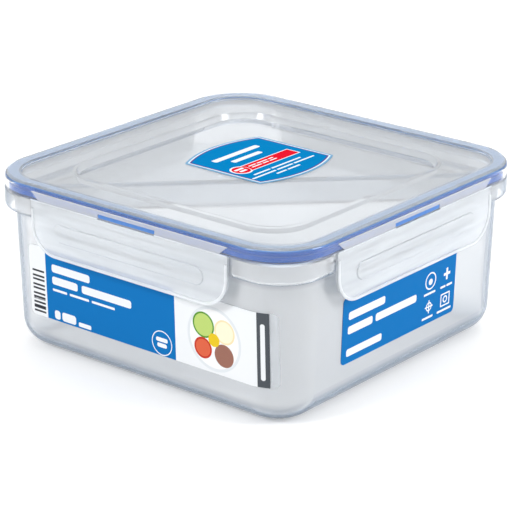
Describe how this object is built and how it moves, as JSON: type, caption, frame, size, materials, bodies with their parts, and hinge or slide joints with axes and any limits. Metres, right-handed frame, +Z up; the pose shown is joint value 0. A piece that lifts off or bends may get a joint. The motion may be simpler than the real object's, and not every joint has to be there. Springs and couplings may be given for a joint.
{
  "type": "sandwich container",
  "caption": "Square clear food box with a clip-down lid, a soft seal under the rim, hinged locking flaps on its sides and a lift-out corner tray.",
  "frame": {"origin": "centre of the base, on the surface the box stands on", "axes": "+Z up, -Y towards the side with the long label, +X towards the side with the short label"},
  "size_m": [0.1568, 0.1568, 0.0724],
  "materials": {
    "clear_box": "frosted clear",
    "clear_lid": "frosted clear",
    "clear_tray": "frosted clear",
    "blue_seal": "satin",
    "printed_label": "gloss film"
  },
  "bodies": {
    "container_body": {"container": "clear_box", "front_label": "printed_label", "side_label": "printed_label"},
    "lid_body": {"lid": "clear_lid", "seal": "blue_seal", "lid_sticker": "printed_label", "front_hinge_left": "clear_lid", "front_hinge_right": "clear_lid", "right_hinge_left": "clear_lid", "right_hinge_right": "clear_lid", "back_hinge_left": "clear_lid", "back_hinge_right": "clear_lid", "left_hinge_left": "clear_lid", "left_hinge_right": "clear_lid"},
    "front_flap_body": {"front_flap": "clear_lid"},
    "right_flap_body": {"right_flap": "clear_lid"},
    "back_flap_body": {"back_flap": "clear_lid"},
    "left_flap_body": {"left_flap": "clear_lid"},
    "tray_body": {"corner_tray": "clear_tray"}
  },
  "joints": [
    {"name": "lid_lift", "type": "slide", "parent": "container_body", "child": "lid_body", "axis": [0, 0, 1], "range_m": [0, 0.07]},
    {"name": "tray_lift", "type": "slide", "parent": "container_body", "child": "tray_body", "axis": [0, 0, 1], "range_m": [0, 0.035]},
    {"name": "front_flap_hinge", "type": "hinge", "parent": "lid_body", "child": "front_flap_body", "pos_m": [0, -0.078, 0.06675], "axis": [-1, 0, 0], "range_deg": [-6, 170]},
    {"name": "right_flap_hinge", "type": "hinge", "parent": "lid_body", "child": "right_flap_body", "pos_m": [0.078, 0, 0.06675], "axis": [0, -1, 0], "range_deg": [-6, 170]},
    {"name": "back_flap_hinge", "type": "hinge", "parent": "lid_body", "child": "back_flap_body", "pos_m": [0, 0.078, 0.06675], "axis": [1, 0, 0], "range_deg": [-6, 170]},
    {"name": "left_flap_hinge", "type": "hinge", "parent": "lid_body", "child": "left_flap_body", "pos_m": [-0.078, 0, 0.06675], "axis": [0, 1, 0], "range_deg": [-6, 170]}
  ],
  "couplings": [
    {"joint": "tray_lift", "follows": "lid_lift", "ratio": 0.5}
  ]
}
